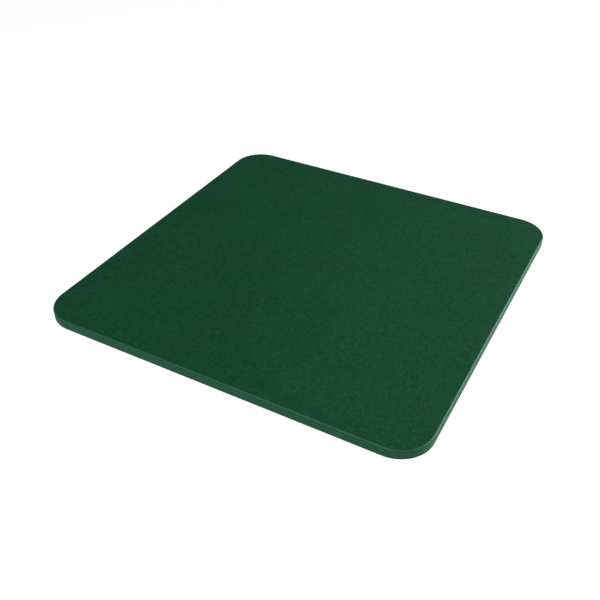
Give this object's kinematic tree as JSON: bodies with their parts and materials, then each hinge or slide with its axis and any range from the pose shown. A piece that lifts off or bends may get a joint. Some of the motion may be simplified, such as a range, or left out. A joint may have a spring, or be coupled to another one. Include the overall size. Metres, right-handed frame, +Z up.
{
  "type": "golf hitting mat",
  "caption": "Square golf hitting mat with rounded corners: a smooth dark green strike sheet bonded to a foam core and to a rubber base with a moulded grip pattern underneath.",
  "frame": {"origin": "centre of the square underside, on the floor the mat lies on", "axes": "+Z up out of the strike face, +X and +Y along the sides of the square"},
  "size_m": [0.457, 0.457, 0.012],
  "materials": {
    "strike_rubber": "matte",
    "adhesive": "satin",
    "cushion_foam": "matte",
    "grip_rubber": "matte"
  },
  "bodies": {
    "root": {"strike_sheet": "strike_rubber", "upper_adhesive": "adhesive", "foam_core": "cushion_foam", "lower_adhesive": "adhesive", "grip_base": "grip_rubber"}
  },
  "joints": []
}
